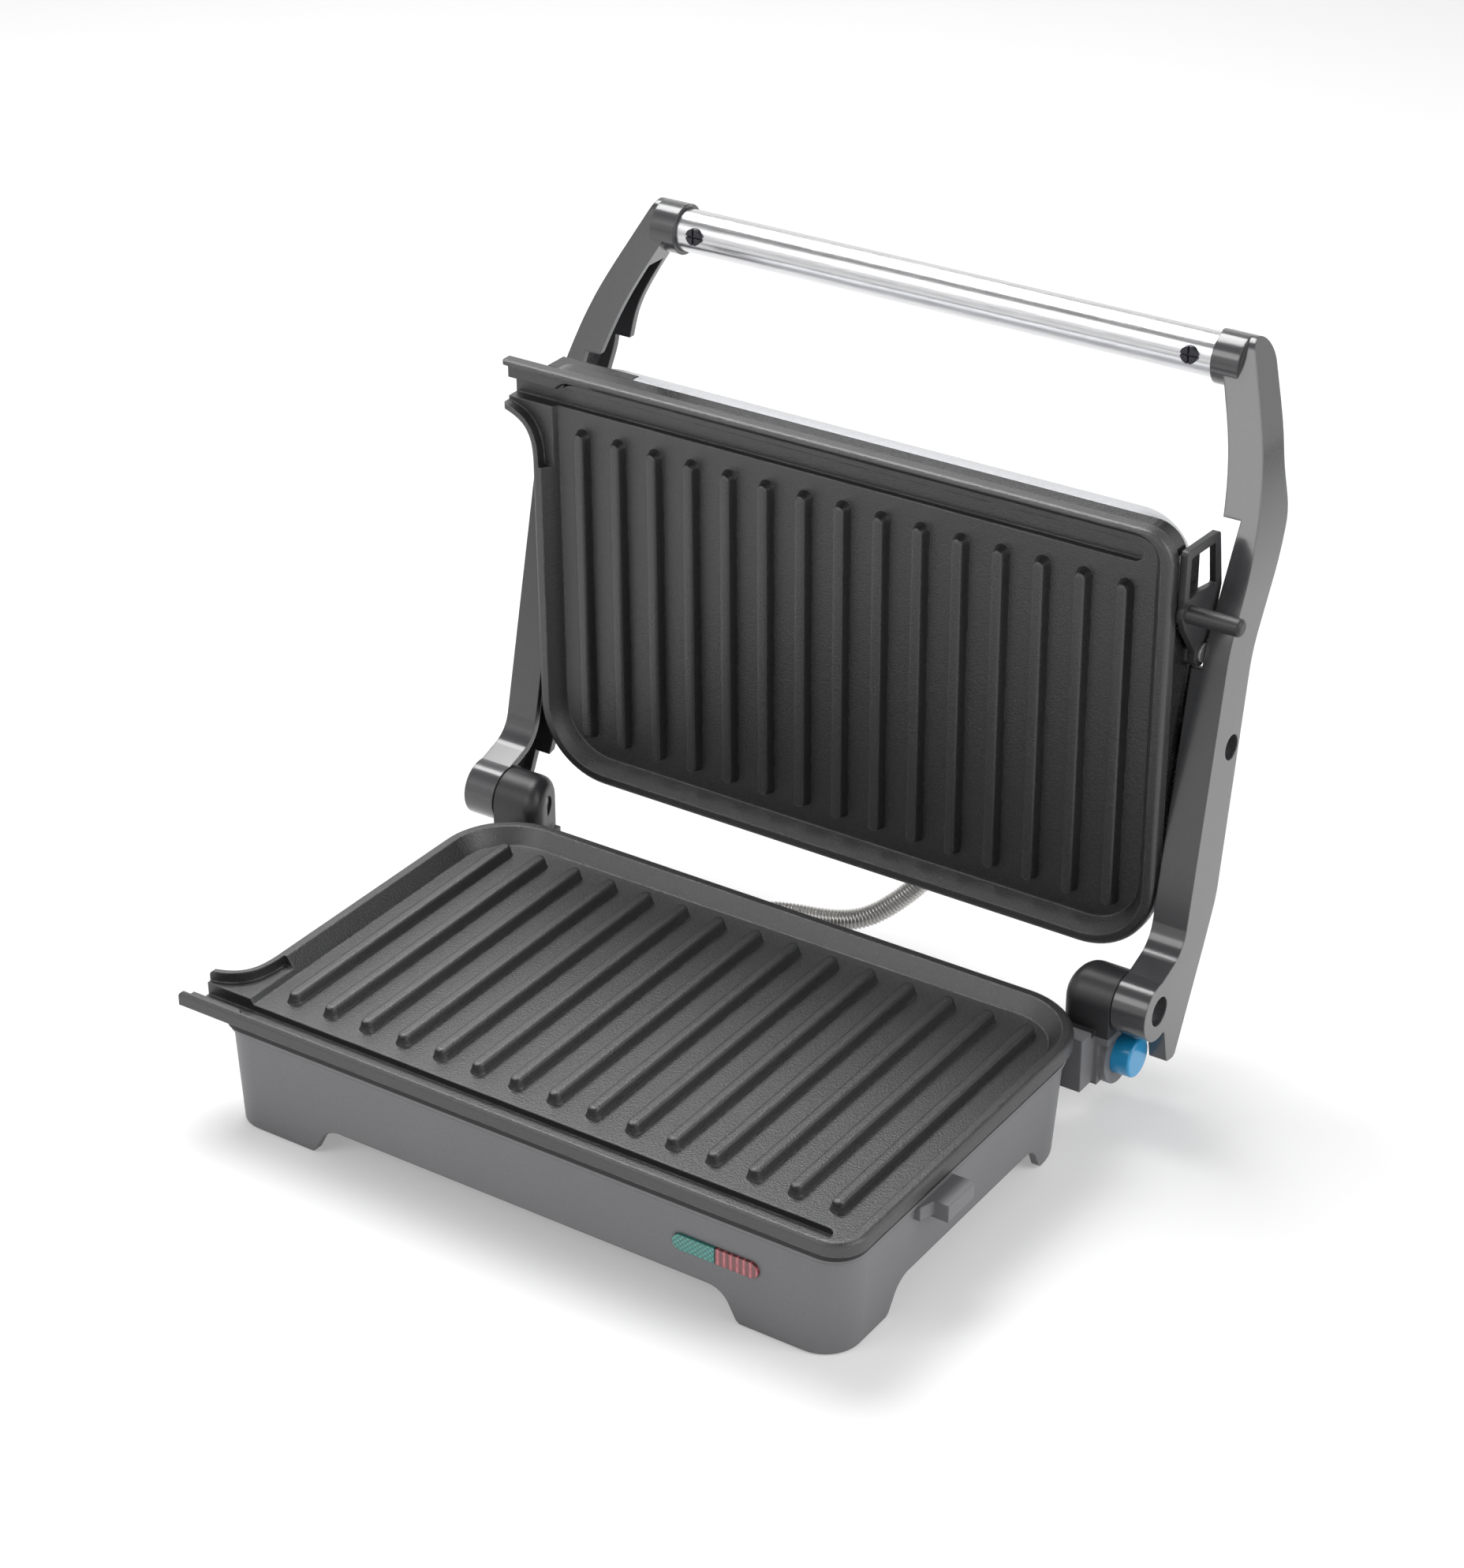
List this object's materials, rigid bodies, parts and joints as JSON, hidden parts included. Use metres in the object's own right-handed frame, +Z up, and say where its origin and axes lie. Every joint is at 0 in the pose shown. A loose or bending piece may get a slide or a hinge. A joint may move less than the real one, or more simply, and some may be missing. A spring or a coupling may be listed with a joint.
{
  "type": "panini press",
  "caption": "Folding contact grill with two ribbed plates, a lid hung on two arms with a bar handle, a side latch, a release button and a fat spout.",
  "frame": {"origin": "centre of the open press's bounding box in plan, on the worktop", "axes": "+X along the hinge towards the release button, +Y to the back, +Z up"},
  "size_m": [0.2634, 0.2434, 0.228],
  "materials": {
    "cast_plate": "dark speckled non-stick coating",
    "housing_grey": "satin mid grey",
    "dark_plastic": "satin black",
    "arm_gloss": "glossy grey",
    "lid_silver": "smooth light silver",
    "bar_steel": "polished",
    "steel": "plain steel",
    "thin_aluminium": "bright sheet",
    "screw_dark": "dark plated",
    "button_blue": "smooth bright blue",
    "lens_green": "moulded prisms",
    "lens_red": "moulded ribs",
    "foot_rubber": "plain",
    "heat_strip": "heat-resisting silicone",
    "lead_red": "silicone sleeve",
    "lamp_glass": "clear",
    "phenolic": "moulded",
    "brass_part": "plain"
  },
  "bodies": {
    "base": {"base_housing": "housing_grey", "base_seal": "heat_strip", "base_bottom_cover": "steel", "foot_pads": "foot_rubber", "base_cover_screws": "screw_dark", "lower_grill_plate": "cast_plate", "lower_heating_element": "steel", "lower_heat_reflector": "thin_aluminium", "lower_thermostat": "brass_part", "thermal_fuse": "steel", "lower_plate_studs": "steel", "plate_straps": "steel", "stud_nuts": "steel", "green_lens": "lens_green", "red_lens": "lens_red", "indicator_lamps": "lamp_glass", "lamp_holder": "dark_plastic", "terminal_block": "phenolic", "base_leads": "lead_red", "cord_gland": "dark_plastic", "hinge_pins": "steel", "hinge_washers": "steel", "base_ferrule": "steel", "button_spring": "steel", "spring_conduit": "steel"},
    "button": {"release_button": "button_blue"},
    "handle_frame": {"right_arm": "arm_gloss", "left_arm": "arm_gloss", "handle_bar": "bar_steel", "handle_plugs": "dark_plastic", "handle_screws": "screw_dark", "lid_pivot_screws": "steel"},
    "lid": {"upper_grill_plate": "cast_plate", "lid_frame": "dark_plastic", "lid_cover": "lid_silver", "lid_screws": "screw_dark", "upper_heating_element": "steel", "upper_heat_reflector": "thin_aluminium", "upper_thermostat": "brass_part", "lid_leads": "lead_red", "lid_ferrule": "steel", "latch_screw": "steel"},
    "latch": {"latch_lever": "dark_plastic"}
  },
  "joints": [
    {"name": "arm_hinge", "type": "hinge", "parent": "base", "child": "handle_frame", "pos_m": [0, 0.03491, 0.041], "axis": [1, 0, 0], "range_deg": [-75.5, 95.8], "deforming": ["spring_conduit"]},
    {"name": "lid_tilt", "type": "hinge", "parent": "handle_frame", "child": "lid", "pos_m": [0, 0.07391, 0.114], "axis": [1, 0, 0], "range_deg": [-12, 0]},
    {"name": "latch_swing", "type": "hinge", "parent": "lid", "child": "latch", "pos_m": [0.11275, 0.06871, 0.1456], "axis": [-1, 0, 0], "range_deg": [-40, 0]},
    {"name": "button_press", "type": "slide", "parent": "base", "child": "button", "axis": [1, 0, 0], "range_m": [-0.0035, 0], "stiffness_N_per_m": 800, "springref_m": 0.004, "deforming": ["button_spring"]}
  ]
}
